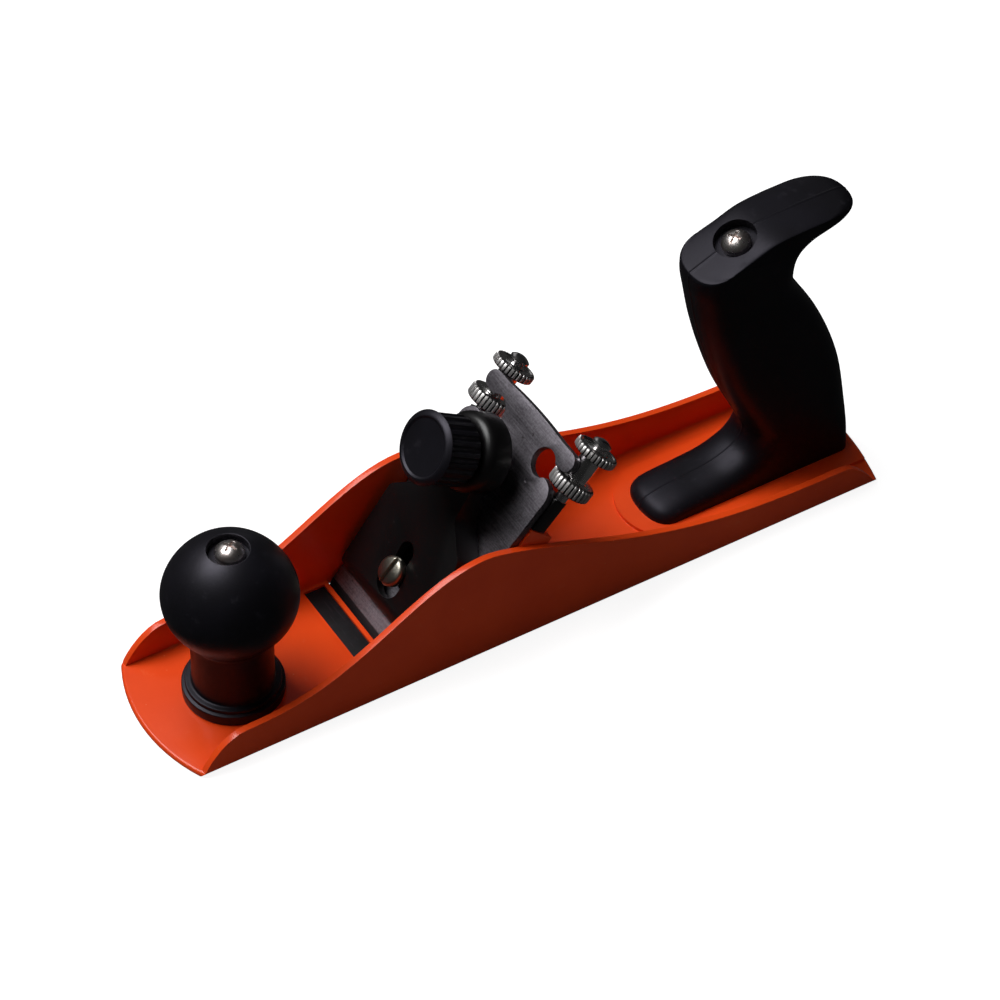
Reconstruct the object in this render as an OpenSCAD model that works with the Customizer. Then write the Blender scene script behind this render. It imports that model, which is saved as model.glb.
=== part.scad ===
// Smoothing plane: painted iron body, moulded handles, adjustable cutter
// X runs from toe to heel, Z is up, and the sole's underside lies on Z = 0

/* [Body] */
// Overall length of the sole
body_l = 241.6; // [234:0.2:252]
// Overall width of the sole
body_w = 50; // [48:0.5:54]
// Thickness of the sole plate
deck_t = 1.6; // [1.4:0.1:2.6]
// Thickness of the cheeks
wall_t = 2; // [1.8:0.1:2.8]
// Plan radius of the toe
toe_r = 55.5; // [46:0.5:70]
// Plan radius of the heel
heel_r = 91; // [75:1:120]
// Height of the cheeks beside the front knob
nose_h = 12.6; // [10:0.1:16]
// Height of the cheeks at their peak
peak_h = 40.3; // [37:0.1:43]
// Height of the cheeks beside the rear handle
tail_h = 11.8; // [8:0.1:13]
// Place of the peak, behind the mouth
peak_gap = 25; // [22:0.5:32]
// Height of the pad under the rear handle, above the sole plate
pad_h = 1.2; // [0.8:0.1:2]
// Width of the pad under the rear handle
pad_w = 33; // [28:0.5:38]
// Radius of the inside corners along the cheeks
corner_r = 0.9; // [0.6:0.1:2]
// Radius of the outer edges between the sole and the cheeks
edge_r = 2.4; // [1.5:0.1:2.6]

/* [Mouth and mouth plate] */
// Place of the cutting edge along the sole, from the middle
mouth_x = -46.9; // [-50:0.1:-42]
// Open space in front of the cutting edge
mouth_gap = 0.5; // [0.4:0.1:2]
// Length of the mouth behind the cutting edge
mouth_back = 5.5; // [5:0.1:7]
// Width of the bar in front of the mouth
bar_w = 1.4; // [1.2:0.1:2.5]
// Length of the pocket in front of the bar
pocket_l = 7; // [5:0.5:9]
// Thickness of the mouth plate
plate_t = 0.8; // [0.6:0.1:1.2]
// Length of the mouth plate that is hidden under the sole plate
plate_lip = 2; // [1.5:0.5:4]

/* [Frog and ribs] */
// Slope of the cutter
bed_angle = 47.5; // [45:0.5:50]
// Thickness of the frog
frog_t = 5.2; // [5:0.1:6]
// Length of the frog's narrow part, up the slope
frog_l = 59.6; // [56:0.1:62]
// Length of the frog's wide head, up the slope
frog_head_l = 10.9; // [9:0.1:12]
// Width of the ribs along the cheeks
rib_w = 5; // [4:0.1:6]
// Thickness of the sloping seat under the frog
seat_t = 4; // [3:0.5:6]
// Length of the seat, up the slope
seat_l = 50; // [44:1:54]
// Distance between the frog screws
frog_screw_gap = 22; // [18:1:24]
// Place of the frog screws, up the slope
frog_screw_s = 38; // [34:1:42]
// Diameter of the frog screws
frog_screw_d = 4; // [3:0.5:5]

/* [Blade] */
// Thickness of the blade
blade_t = 2.5; // [2:0.1:3]
// Gap between the blade and each cheek
blade_side_gap = 0.5; // [0.4:0.1:1]
// Height of the ears, along the blade
ear_h = 6; // [5:0.1:6.6]
// Radius of the notches under the ears
notch_r = 4.5; // [4:0.1:5]
// Opening of the notches at the blade's side
notch_open = 5.3; // [5:0.1:6]
// Gap between the blade's shoulders and the wheels' lower flanges
flange_room = 0.4; // [0.3:0.05:0.6]
// Angle of the sharpened bevel
grind_angle = 28; // [24:1:32]
// Length of the honed band on the upper face, along the edge
hone_l = 3; // [2:0.1:4]
// Depth of the honed band at the edge
hone_drop = 0.7; // [0.3:0.05:0.9]
// Width of the slot for the lever cap screw
slot_w = 6; // [5.6:0.1:7.5]

/* [Adjuster] */
// Radius of the knurled flanges
wheel_r = 6.8; // [6.2:0.1:7.4]
// Radius of the neck between the flanges
neck_r = 3.3; // [3:0.1:3.6]
// Thickness of the lower flange
low_flange_t = 4.3; // [3.5:0.1:4.8]
// Thickness of the upper flange
top_flange_t = 2.9; // [2:0.1:3.5]
// Play of the ear between the flanges
ear_play = 1.9; // [0.6:0.1:2.5]
// Number of knurled ridges
knurls = 44; // [32:2:52]
// Diameter of the adjuster studs
stud_d = 4; // [3.5:0.1:4.4]
// Diameter of the studs' heads
stud_head_d = 6.2; // [5.4:0.1:7]
// Travel of the blade upwards from where it stands
blade_up = 1; // [0.5:0.1:1.5]
// Travel of the blade downwards from where it stands
blade_down = 1.5; // [1:0.1:2]
// Gap left between the frog and the lower flanges
frog_clear = 0.4; // [0.3:0.1:1]
// How much further the far wheel is screwed down than the near one
wheel_stagger = 1.6; // [0:0.1:1.6]

/* [Lever cap] */
// Width of the lever cap at its nose
cap_w = 41; // [38:0.5:42]
// Width of the lever cap at its shoulders
cap_shoulder_w = 38; // [35:0.5:38]
// Width of the waist
waist_w = 18.6; // [16:0.2:21]
// Length from the cutting edge to the nose of the cap
cap_s = 9.2; // [8:0.1:10.5]
// Length from the cutting edge to the shoulders
shoulder_s = 41.7; // [39:0.1:44]
// Length from the cutting edge to the middle of the boss
boss_s = 68.3; // [66:0.1:69]
// Radius of the boss
boss_r = 12; // [10.5:0.1:12.6]
// Wall of the hollow underside
cap_wall = 2.4; // [2:0.1:3]
// Radius of the keyhole's wide end
key_r = 5.1; // [4.9:0.1:5.8]
// Width of the keyhole's narrow end
key_w = 6; // [5.6:0.1:7]
// Diameter of the lever cap screw's shank
cap_screw_d = 5; // [4.5:0.1:5.4]
// Diameter of the lever cap screw's head
cap_screw_head_d = 9.2; // [8.6:0.1:9.6]
// Height of the lever cap screw's head
cap_head_h = 2.6; // [2.2:0.1:3.2]
// Travel of the lever cap to where its keyhole lets it off
cap_travel = 3.2; // [3:0.1:4.2]

/* [Clamp] */
// Tilt of the clamp from the blade's normal
clamp_tilt = 10.5; // [8:0.5:13]
// Diameter of the clamp stud
clamp_stud_d = 8; // [7:0.5:9]
// Radius of the clamp knob's plain rim
clamp_r = 11; // [10:0.1:12]
// Length of the clamp knob
clamp_l = 13.7; // [10:0.1:15]
// Number of flutes round the clamp knob
flutes = 20; // [14:1:24]

/* [Front knob] */
// Distance of the knob's axis from the toe
knob_in = 29.4; // [26:0.2:34]
// Radius of the knob's base
knob_base_r = 15; // [13.5:0.1:16]
// Height of the knob's base
knob_base_h = 5; // [4:0.1:7]
// Radius of the knob's neck
knob_neck_r = 12; // [11:0.1:13]
// Radius of the knob's ball
knob_r = 19.8; // [18:0.1:22]
// Half height of the lower part of the knob's ball
knob_ball_h = 17.4; // [16:0.1:19]
// Height of the knob's crown, from the ball's middle to the rim of the counterbore
knob_crown_h = 17.3; // [16:0.1:19]
// Height of the knob above the sole plate
knob_h = 56.5; // [53:0.1:60]
// Radius of the counterbore for the knob screw
knob_bore_r = 6.4; // [6:0.1:7.4]

/* [Rear handle] */
// Distance of the handle's back from the heel
tote_in = 2.2; // [2:0.1:6]
// Width of the handle
tote_w = 20.2; // [18:0.2:24]
// Radius of the counterbore for the handle's screw
tote_bore_r = 6.6; // [5.6:0.1:7]
// Diameter of the handle screws' shanks
rod_d = 6; // [5:0.5:6.5]
// Diameter of the handle screws' heads
rod_head_d = 9.4; // [9:0.1:10.6]
// Height of the handle screws' heads
rod_head_h = 4.2; // [3.6:0.1:4.6]
// Depth of the counterbore in the front knob
knob_sink = 3.2; // [2.5:0.1:8]
// Depth of the counterbore in the rear handle
rod_sink = 4.1; // [3:0.1:8]

/* [Hidden] */
part_gap = 0.3;
running = 0.05;
eps = 0.01;
toe_x = -body_l / 2;
heel_x = body_l / 2;
half_in = body_w / 2 - wall_t;
toe_corner = toe_x + toe_r - sqrt(toe_r * toe_r - body_w * body_w / 4);
heel_corner = heel_x - heel_r + sqrt(heel_r * heel_r - body_w * body_w / 4);
nose_x = toe_corner + 14.5;
peak_x = mouth_x + peak_gap;
tail_x = heel_x - 17;
pocket_x = mouth_x - mouth_gap - bar_w - pocket_l;
bar_x = mouth_x - mouth_gap - bar_w;
pad_z = deck_t + pad_h;
blade_half = half_in - blade_side_gap;
rib_in = half_in + 0.1 - rib_w;
frog_half = rib_in - 0.5;
frog_top = -blade_t - part_gap;
frog_back = frog_top - frog_t;
frog_end = frog_l + frog_head_l;
ear_s = frog_end + frog_clear + blade_down + wheel_stagger + low_flange_t + part_gap;
bed_origin = mouth_x - hone_drop / sin(bed_angle);
edge_s = hone_drop / tan(bed_angle);
low_s = ear_s - part_gap - low_flange_t;
top_s = ear_s + ear_h + ear_play;
wheel_end = top_s + top_flange_t;
stud_y = blade_half - 1.1;
stud_seat_d = 2.6;
head_half = stud_y + stud_seat_d / 2 + part_gap;
pocket_half = half_in - corner_r;
stud_h = -blade_t - 0.4 - neck_r;
head_s = wheel_end + blade_up + part_gap;
cap_slope = 9.55;
cap_screw_s = cap_s + 13.1;
key_s = cap_screw_s - cap_travel;
cap_rise = 5.5;
seat_h = cap_rise + 1.1;
knob_x = toe_x + knob_in;
knob_z = deck_t;
ball_z = deck_t + knob_h - knob_crown_h;
tote_x = heel_x - tote_in;
rod_lean = 16.6;
boss_lift = 3.5;
orange = [0.86, 0.24, 0.08];
black = [0.05, 0.05, 0.06];
steel = [0.5, 0.49, 0.52];
bright = [0.8, 0.8, 0.82];

// The cutter's own frame: X up the slope from the cutting edge, Z square to the blade's upper face
module at_bed(s = 0, h = 0) {
  translate([bed_origin, 0, 0])
    rotate([0, -bed_angle, 0])
      translate([s, 0, h])
        children();
}

module at_clamp() {
  at_bed(boss_s)
    rotate([0, -clamp_tilt, 0])
      children();
}

function bed_x(s, h) = bed_origin + s * cos(bed_angle) - h * sin(bed_angle);
function bed_z(s, h) = s * sin(bed_angle) + h * cos(bed_angle);

// A solid drawn by its side view and spread to both sides of the middle plane
module side_slab(half, points) {
  translate([0, half, 0])
    rotate([90, 0, 0])
      linear_extrude(2 * half)
        polygon(points);
}

module dome_head(r, h, driver = true) {
  rise = h * 0.55;
  ball = (r * r + rise * rise) / (2 * rise);
  difference() {
    intersection() {
      cylinder(r = r, h = h, $fn = 48);
      translate([0, 0, h - ball])
        sphere(ball, $fn = 96);
    }
    if (driver) {
      for (a = [28, 118]) {
        rotate([0, 0, a])
          translate([-r * 0.55, -r * 0.1, h * 0.45])
            cube([r * 1.1, r * 0.2, h]);
      }
    }
  }
}

// ---- body ----

function cheek_z(x) =
  x < nose_x ? nose_h * pow(max(0, sin(90 * (x - toe_corner) / (nose_x - toe_corner))), 0.7)
  : x < peak_x ? nose_h + (peak_h - nose_h) * (1 - cos(180 * pow((x - nose_x) / (peak_x - nose_x), 1.24))) / 2
  : x < tail_x ? tail_h + (peak_h - tail_h) * pow(max(0, cos(90 * pow((x - peak_x) / (tail_x - peak_x), 0.73))), 2.6)
  : tail_h * max(0, cos(90 * (x - tail_x) / (heel_corner - tail_x)));

cheek_x = concat(
  [for (i = [0:8]) toe_corner + (nose_x - toe_corner) * pow(i / 9, 1.7)],
  [for (i = [0:23]) nose_x + (peak_x - nose_x) * i / 24],
  [for (i = [0:31]) peak_x + (tail_x - peak_x) * pow(i / 32, 1.15)],
  [for (i = [0:9]) tail_x + (heel_corner - tail_x) * sin(10 * i)]);
cheek_points = [for (x = cheek_x) [x, max(cheek_z(x), deck_t / 2)]];

module edge_disc(r, h) {
  rotate_extrude($fn = 240)
    polygon(concat([[0, 0], [r - 0.3, 0], [r, 0.3]],
      [for (a = [0:22.5:90]) [r - 1 + cos(a), h - 1 + sin(a)]],
      [[0, h]]));
}

module sole_plate() {
  intersection() {
    translate([toe_x, -body_w / 2, 0])
      cube([body_l, body_w, deck_t]);
    translate([toe_x + toe_r, 0, 0]) {
      edge_disc(toe_r, deck_t);
      translate([0, -body_w, 0])
        cube([body_l, 2 * body_w, deck_t]);
    }
    translate([heel_x - heel_r, 0, 0]) {
      edge_disc(heel_r, deck_t);
      translate([-body_l, -body_w, 0])
        cube([body_l, 2 * body_w, deck_t]);
    }
  }
}

module cheeks() {
  intersection() {
    for (side = [-1, 1]) {
      translate([0, side * (half_in + wall_t / 2) + wall_t / 2, 0])
        rotate([90, 0, 0])
          linear_extrude(wall_t)
            polygon(concat([[toe_corner, 0.4]], cheek_points, [[heel_corner, 0.4]]));
    }
    translate([toe_x + toe_r, 0, 0]) {
      cylinder(r = toe_r, h = 2 * peak_h, $fn = 240);
      translate([0, -body_w, 0])
        cube([body_l, 2 * body_w, 2 * peak_h]);
    }
  }
}

// Room inside the rounded outer edges
module edge_room() {
  side = body_w / 2 - edge_r;
  rotate([90, 0, 90])
    translate([0, 0, -body_l])
      linear_extrude(2 * body_l)
        polygon(concat(
          [for (a = [180:15:270]) [-side + edge_r * cos(a), edge_r + edge_r * sin(a)]],
          [for (a = [270:15:360]) [side + edge_r * cos(a), edge_r + edge_r * sin(a)]],
          [[body_w / 2, 2 * peak_h], [-body_w / 2, 2 * peak_h]]));
}

// Hollow corner between the sole plate and each cheek
module corners() {
  for (side = [0, 1]) {
    mirror([0, side, 0])
      translate([nose_x, 0, 0])
        rotate([90, 0, 90])
          linear_extrude(tail_x - nose_x)
            polygon(concat([[half_in + 0.2, deck_t - 0.2]],
              [for (a = [0:15:90]) [half_in - corner_r + corner_r * sin(a), deck_t + corner_r - corner_r * cos(a)]],
              [[half_in + 0.2, deck_t + corner_r]]));
  }
}

module pad() {
  front = tote_x - 77;
  round_r = pad_w / 2 + 1;
  intersection() {
    translate([front, -pad_w / 2, deck_t - 0.2])
      cube([heel_x - front, pad_w, pad_h + 0.2]);
    union() {
      translate([front + round_r, 0, 0])
        cylinder(r = round_r, h = pad_z, $fn = 120);
      translate([front + round_r, -pad_w, 0])
        cube([body_l, 2 * pad_w, pad_z]);
    }
    translate([heel_x - heel_r, 0, 0])
      cylinder(r = heel_r - 0.8, h = pad_z, $fn = 240);
  }
}

module bed_ribs() {
  intersection() {
    for (side = [0, 1]) {
      mirror([0, side, 0])
        translate([0, half_in + 0.1, 0])
          rotate([90, 0, 0])
            linear_extrude(rib_w)
              polygon([[bed_x(3, frog_top), bed_z(3, frog_top)],
                [bed_x(frog_l - 0.4, frog_top), bed_z(frog_l - 0.4, frog_top)],
                [bed_x(frog_l - 0.4, frog_back - 4), bed_z(frog_l - 0.4, frog_back - 4)],
                [bed_x(18, frog_back - 8), deck_t - 0.3],
                [bed_x(3, frog_top), deck_t - 0.3]]);
    }
    translate([mouth_x + mouth_back, -body_w, 0.4])
      cube([body_l, 2 * body_w, 2 * peak_h]);
  }
}

module frog_seat() {
  half = frog_half - 0.5;
  low = frog_back - seat_t;
  intersection() {
    union() {
      side_slab(half, [[bed_x(2, frog_back), bed_z(2, frog_back)],
        [bed_x(seat_l, frog_back), bed_z(seat_l, frog_back)],
        [bed_x(seat_l, low), bed_z(seat_l, low)],
        [bed_x(2, low), bed_z(2, low)]]);
      for (side = [-1, 1]) {
        translate([0, side * (half - 1.5), 0])
          side_slab(1.5, [[bed_x(12, low + 1), deck_t - 0.5],
            [bed_x(seat_l - 1, low + 1), bed_z(seat_l - 1, low + 1)],
            [bed_x(seat_l - 1, low), bed_z(seat_l - 1, low)],
            [bed_x(seat_l - 1, low) + 1, deck_t - 0.5]]);
      }
      for (side = [-1, 1]) {
        at_bed(frog_screw_s, low - 5)
          translate([0, side * frog_screw_gap / 2, 0])
            cylinder(d = frog_screw_d + 4, h = 5 + seat_t / 2, $fn = 36);
      }
    }
    translate([mouth_x + mouth_back, -body_w, deck_t - 0.5])
      cube([body_l, 2 * body_w, 2 * peak_h]);
  }
}

module body() {
  color(orange)
  difference() {
    union() {
      intersection() {
        union() {
          sole_plate();
          cheeks();
        }
        edge_room();
      }
      corners();
      pad();
      bed_ribs();
      frog_seat();
      translate([knob_x, 0, deck_t - 0.2])
        cylinder(r = rod_d / 2 + 3, h = boss_lift + 0.2, $fn = 48);
      translate([rod_foot_x, 0, pad_z - 0.2])
        cylinder(r = rod_d / 2 + 3, h = boss_lift + 0.2, $fn = 48);
    }
    // mouth, pocket and the rebate that takes the mouth plate
    translate([bar_x + bar_w, -half_in, -1])
      cube([mouth_gap + mouth_back, 2 * half_in, 6]);
    translate([pocket_x, -pocket_half, -1])
      cube([pocket_l, 2 * pocket_half, 6]);
    translate([pocket_x - plate_lip, -pocket_half, -1])
      cube([pocket_l + plate_lip, 2 * pocket_half, 1 + plate_t]);
    // screw holes
    translate([knob_x, 0, -1])
      cylinder(d = rod_d, h = 20, $fn = 48);
    at_rod()
      translate([0, 0, -20])
        cylinder(d = rod_d, h = 60, $fn = 48);
    for (side = [-1, 1]) {
      at_bed(frog_screw_s, frog_back - seat_t - 6)
        translate([0, side * frog_screw_gap / 2, 0])
          cylinder(d = frog_screw_d, h = 20, $fn = 36);
    }
    at_bed(cap_screw_s, frog_back - seat_t - 6)
      cylinder(d = cap_screw_d + 2, h = 20, $fn = 36);
  }
}

module mouth_plate() {
  color(black)
  translate([pocket_x - plate_lip, -pocket_half, 0])
    cube([pocket_l + plate_lip, 2 * pocket_half, plate_t]);
}

// ---- front knob ----

ball_join = acos(knob_neck_r / knob_r);

module front_knob() {
  neck_z = ball_z - knob_ball_h * sin(ball_join);
  base_top = knob_z + knob_base_h;
  rim_deg = acos(pow((knob_bore_r + 0.5) / knob_r, 0.9));
  crown = knob_crown_h / pow(sin(rim_deg), 1 / 0.9);
  color(black)
  difference() {
    translate([knob_x, 0, 0])
      rotate_extrude($fn = 96)
        polygon(concat(
          [[0, knob_z], [knob_base_r - 0.6, knob_z], [knob_base_r, knob_z + 0.6],
            [knob_base_r, base_top - 1.6], [knob_base_r - 0.25, base_top - 1.1],
            [knob_base_r - 0.7, base_top - 0.9], [knob_base_r - 0.9, base_top - 0.3],
            [knob_base_r - 1.3, base_top]],
          [for (a = [0:22.5:90]) [knob_neck_r + 0.9 * (1 - sin(a)), base_top + 0.9 * (1 - cos(a)) + 0.01]],
          [for (a = [0:15:45]) [knob_neck_r + 2.4 * (1 - cos(a)), neck_z - 2.8 + 2.4 * sin(a)]],
          [for (i = [1:15]) let (a = (4 - ball_join) * (1 - i / 15))
            [knob_r * cos(a), ball_z + knob_ball_h * sin(a)]],
          [for (i = [1:20]) let (a = rim_deg * i / 20)
            [knob_r * pow(cos(a), 1 / 0.9), ball_z + crown * pow(sin(a), 1 / 0.9)]],
          [[knob_bore_r, knob_z + knob_h - 0.1], [0, knob_z + knob_h - 0.1]]));
    translate([knob_x, 0, knob_seat])
      cylinder(r = knob_bore_r, h = 20, $fn = 64);
    translate([knob_x, 0, 0])
      cylinder(d = rod_d + 2 * part_gap, h = 80, $fn = 48);
    translate([knob_x, 0, 0])
      cylinder(r = rod_d / 2 + 3 + part_gap, h = deck_t + boss_lift + part_gap, $fn = 48);
  }
}

knob_seat = knob_z + knob_h - knob_sink;

module knob_screw() {
  color(bright)
  translate([knob_x, 0, knob_seat]) {
    dome_head(rod_head_d / 2, rod_head_h);
    translate([0, 0, -(knob_seat - 0.6)])
      cylinder(d = rod_d, h = knob_seat, $fn = 48);
  }
}

// ---- rear handle ----

// Each row: x and z of the outline, then how far the rounding draws it in along x and z at the sides
// x counts forward from the handle's back, z up from the pad
grip = [
  [0, 0, -5, 0], [-0.4, 9, -6, 0], [-1.8, 20, -8, 0], [-5, 36, -8, 0], [-9.3, 48.7, -8, 0],
  [-14.8, 60.5, -8, 0], [-19.8, 68.7, -8, 0], [-23.6, 75, -8, 0], [-25, 79.7, -8, 0],
  [-24.4, 86.2, -8, 0], [-22.2, 90.4, -6.5, 0.6], [-17.6, 93.2, -5, 1], [-11.6, 94.8, -5, 1],
  [-6.9, 96.2, -6, 0.6], [-4.8, 98.3, -7.4, 0], [-7.4, 99.9, -7, -0.6], [-13, 100.1, -5, -0.8],
  [-24.9, 99.7, -1, -0.9], [-36.2, 98.8, 0, -0.9], [-50.2, 93.4, 0.8, -0.8], [-56, 90.3, 2.2, -0.8],
  [-58.4, 87, 4.5, -0.5], [-57.6, 79.2, 8, 0], [-54.9, 68, 8, 0], [-51.1, 54.8, 8, 0],
  [-45.4, 39.2, 8, 0], [-37.6, 23.2, 8, 0], [-35.1, 16.6, 8, -1], [-37.8, 11.2, 6, -4],
  [-44.5, 7.8, 3, -5], [-52.5, 6.4, 1, -4.6], [-61.3, 5.6, 1, -4.2], [-68, 4.2, 5, -3],
  [-70.9, 1.9, 7, -1.1], [-71.2, 0, 7, 0]];

function blend(a, b, c, d, t) =
  0.5 * (2 * b + (c - a) * t + (2 * a - 5 * b + 4 * c - d) * t * t + (3 * b - a - 3 * c + d) * t * t * t);

function smooth_row(rows, n) =
  let (last = len(rows) - 1)
  concat(
    [for (i = [0:last - 1], j = [0:n - 1])
      blend(rows[max(i - 1, 0)], rows[i], rows[i + 1], rows[min(i + 2, last)], j / n)],
    [rows[last]]);

grip_row = smooth_row(grip, 2);
grip_last = len(grip_row) - 1;
base_steps = 12;

// The closed outline: front corner, along the base to the back, then up, over the horn and down the front
grip_ring = concat(
  [for (k = [0:base_steps]) grip_row[grip_last] + (grip_row[0] - grip_row[grip_last]) * k / (base_steps + 1)],
  [for (i = [0:grip_last - 1]) grip_row[i]]);

module grip_skin(half, steps) {
  count = len(grip_ring);
  middle = (count - 1) / 2 - 1;
  points = [for (k = [0:steps])
    let (y = -half * cos(180 * k / steps), pull = 1 - pow(1 - pow(abs(y) / half, 2.4), 1 / 2.4))
    for (p = grip_ring) [p[0] + pull * p[2], y, p[1] + pull * p[3]]];
  // each flat side is closed by a ladder of triangles between the front and the back of the outline
  side = concat([[0, count - 1, 1]],
    [for (j = [1:middle]) [j, count - j, j + 1]],
    [for (j = [1:middle]) [j + 1, count - j, count - j - 1]]);
  faces = concat(
    side,
    [for (f = side) [for (i = [2:-1:0]) steps * count + f[i]]],
    [for (k = [0:steps - 1], i = [0:count - 1])
      let (n = (i + 1) % count)
      [k * count + i, (k + 1) * count + n, (k + 1) * count + i]],
    [for (k = [0:steps - 1], i = [0:count - 1])
      let (n = (i + 1) % count)
      [k * count + i, k * count + n, (k + 1) * count + n]]);
  polyhedron(points, faces);
}

rod_top_x = tote_x - 43.2;
rod_top_z = pad_z + 96.2;
rod_foot_x = rod_top_x + (rod_top_z - pad_z) * tan(rod_lean);

// The handle screw's own frame: Z points up along the screw, from its place on the pad
module at_rod() {
  translate([rod_foot_x, 0, pad_z])
    rotate([0, -rod_lean, 0])
      children();
}

rod_l = (rod_top_z - pad_z) / cos(rod_lean);
rod_seat = rod_l - rod_sink;

module tote() {
  color(black)
  difference() {
    translate([tote_x, 0, pad_z])
      grip_skin(tote_w / 2, 10);
    at_rod() {
      translate([0, 0, rod_seat])
        cylinder(r = tote_bore_r, h = rod_l / 2, $fn = 48);
      translate([0, 0, -2 * rod_d])
        cylinder(d = rod_d + 2 * part_gap, h = rod_seat + 2 * rod_d + 1, $fn = 32);
    }
    translate([rod_foot_x, 0, pad_z - 1])
      cylinder(r = rod_d / 2 + 3 + part_gap, h = 1 + boss_lift + part_gap, $fn = 48);
  }
}

module tote_screw() {
  color(bright)
  intersection() {
    at_rod() {
      translate([0, 0, rod_seat])
        dome_head(rod_head_d / 2, rod_head_h);
      translate([0, 0, -pad_z])
        cylinder(d = rod_d, h = rod_seat + pad_z + 0.5, $fn = 48);
    }
    translate([0, -body_w / 2, 0.6])
      cube([body_l, body_w, body_l]);
  }
}

// ---- frog ----

module frog() {
  color(black)
  difference() {
    union() {
      intersection() {
        at_bed(2, frog_back)
          translate([0, -frog_half, 0])
            cube([frog_l - 2 + eps, 2 * frog_half, frog_t]);
        translate([mouth_x, -body_w, deck_t + part_gap])
          cube([body_l, 2 * body_w, 3 * peak_h]);
      }
      at_bed(frog_l, frog_back)
        translate([0, -head_half, 0])
          cube([frog_head_l, 2 * head_half, frog_t]);
      for (y = [-frog_half * 0.55, 0, frog_half * 0.55]) {
        at_bed(seat_l + 1, frog_back - 2.5)
          translate([0, y - 1, 0])
            cube([frog_l + frog_head_l * 0.55 - seat_l - 1.6, 2, 3]);
      }
    }
    for (side = [-1, 1]) {
      at_bed(frog_screw_s, frog_back - 1)
        translate([0, side * frog_screw_gap / 2, 0]) {
          cylinder(d = frog_screw_d + part_gap, h = frog_t + 2, $fn = 36);
          translate([0, 0, 1 + frog_t / 2])
            cylinder(d = frog_screw_d * 2, h = frog_t, $fn = 36);
        }
      at_bed(frog_l + 1.4, stud_h)
        translate([0, side * stud_y, 0])
          rotate([0, 90, 0])
            cylinder(d = stud_seat_d, h = frog_head_l, $fn = 36);
    }
    // open middle of the head
    at_bed(frog_l + frog_head_l * 0.55, frog_back - 4)
      translate([0, -(stud_y - 5), 0])
        cube([frog_head_l, 2 * (stud_y - 5), frog_t + 5]);
    at_bed(cap_screw_s, frog_back - 1)
      cylinder(d = cap_screw_d, h = frog_t + 2, $fn = 48);
  }
}

module frog_screws() {
  color(steel)
  for (side = [-1, 1]) {
    at_bed(frog_screw_s, frog_back + frog_t / 2)
      translate([0, side * frog_screw_gap / 2, 0]) {
        difference() {
          cylinder(d = frog_screw_d * 1.75, h = frog_t / 2 - 0.4, $fn = 36);
          translate([-frog_screw_d, -0.5, frog_t / 4])
            cube([2 * frog_screw_d, 1, frog_t]);
        }
        translate([0, 0, -(frog_t / 2 + seat_t + 3)])
          cylinder(d = frog_screw_d, h = frog_t / 2 + seat_t + 3.2, $fn = 36);
      }
  }
}

// ---- blade ----

function end_cap(x, y, r, a0, a1, n) = [for (i = [0:n]) let (a = a0 + (a1 - a0) * i / n) [x + r * cos(a), y + r * sin(a)]];

// A closed outline from the points of its +Y half, which run from one end to the other
module both_sides(points) {
  last = len(points) - 1;
  polygon(concat(points, [for (i = [last:-1:0]) if (points[i][1] > eps) [points[i][0], -points[i][1]]]));
}

function drop(side) = side > 0 ? wheel_stagger : 0;

// Where the blade's full width ends, below the lower flange on that side
function shoulder(side) = min(ear_s - notch_open, low_s - drop(side) - flange_room);

// Half of the blade's outline, from the cutting edge to the middle of the top
function blade_edge(side) =
  let (
    ear_y = blade_half + 0.2,
    tip = ear_h / 2,
    notch_y = stud_y - wheel_r - 1.4,
    notch_s = ear_s - 2.4 - (ear_s - notch_open - shoulder(side)) / 2,
    low = acos((shoulder(side) - notch_s) / notch_r),
    high = acos((ear_s - notch_s) / notch_r),
    crown_y = stud_y - wheel_r - 0.5)
  concat(
    [[0.5, blade_half]],
    end_cap(shoulder(side) - 5, blade_half - 5, 5, 90, 0, 6),
    end_cap(notch_s, notch_y, notch_r, low, high + 360, 18),
    end_cap(ear_s + tip, ear_y - tip, tip, 180, 0, 12),
    [for (i = [0:5]) let (y = crown_y * (1 - i / 5)) [ear_s + ear_h + 0.6 - 0.6 * pow(y / crown_y, 2), y]]);

module blade_plan() {
  far = blade_edge(1);
  near = blade_edge(-1);
  polygon(concat(far, [for (i = [len(near) - 2:-1:0]) [near[i][0], -near[i][1]]]));
}

module blade() {
  color(steel)
  difference() {
    at_bed(0, -blade_t)
      linear_extrude(blade_t)
        difference() {
          blade_plan();
          slot_a = cap_screw_s - 4.8 + slot_w / 2;
          slot_b = cap_screw_s + 6.7 - slot_w / 2;
          translate([slot_a, 0])
            circle(d = slot_w, $fn = 48);
          translate([slot_b, 0])
            circle(d = slot_w, $fn = 48);
          translate([slot_a, -slot_w / 2])
            square([slot_b - slot_a, slot_w]);
        }
    // sharpened bevel on the underside
    at_bed(edge_s + 0.05, -hone_drop)
      rotate([0, grind_angle, 0])
        translate([-2, -body_w, -12 * blade_t])
          cube([20, 2 * body_w, 12 * blade_t]);
    // honed band along the edge
    side_slab(body_w, [
      [bed_x(edge_s + hone_l, 0), bed_z(edge_s + hone_l, 0)],
      [bed_x(edge_s, -hone_drop), bed_z(edge_s, -hone_drop)],
      [bed_x(edge_s - 2, -hone_drop - 0.5), bed_z(edge_s - 2, -hone_drop - 0.5)],
      [bed_x(-2, 2), bed_z(-2, 2)],
      [bed_x(edge_s + hone_l, 2), bed_z(edge_s + hone_l, 2)]]);
    // small centre mark between the ears
    at_bed(ear_s - 2.2 * notch_r, -0.3)
      translate([0, -blade_half * 0.55, 0])
        cylinder(r = 0.6, h = 1, $fn = 24);
  }
}

// ---- lever cap ----

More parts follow.
